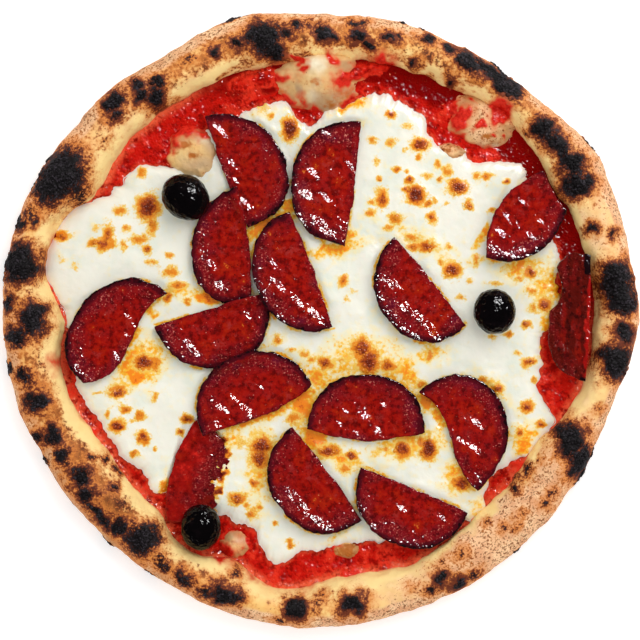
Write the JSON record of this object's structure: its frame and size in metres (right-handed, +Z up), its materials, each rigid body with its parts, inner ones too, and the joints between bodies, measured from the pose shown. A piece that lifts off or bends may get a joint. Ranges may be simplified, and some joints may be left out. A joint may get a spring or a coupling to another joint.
{
  "type": "chorizo pizza",
  "caption": "Whole round pizza with a puffed, charred rim, tomato sauce, melted mozzarella, half slices of chorizo and whole black olives.",
  "frame": {"origin": "middle of the pizza's outline, on the flat underside", "axes": "+Z up through the toppings; +X towards the right of the picture and +Y towards its top, as seen from straight above"},
  "size_m": [0.3046, 0.2948, 0.0256],
  "materials": {
    "dough": "matt baked crust, golden with black blisters",
    "tomato_sauce": "wet, pulpy crushed tomato",
    "mozzarella": "smooth melted cheese with browned spots and orange oil",
    "chorizo": "oily dark red cured sausage with a near-black casing edge",
    "olive": "glossy, slightly wrinkled black skin"
  },
  "bodies": {
    "root": {"dough": "dough", "tomato_sauce": "tomato_sauce", "mozzarella": "mozzarella", "chorizo_01": "chorizo", "chorizo_02": "chorizo", "chorizo_03": "chorizo", "chorizo_04": "chorizo", "chorizo_05": "chorizo", "chorizo_06": "chorizo", "chorizo_07": "chorizo", "chorizo_08": "chorizo", "chorizo_09": "chorizo", "chorizo_10": "chorizo", "chorizo_11": "chorizo", "chorizo_12": "chorizo", "chorizo_13": "chorizo", "chorizo_14": "chorizo", "chorizo_15": "chorizo", "olive_1": "olive", "olive_2": "olive", "olive_3": "olive"}
  },
  "joints": []
}
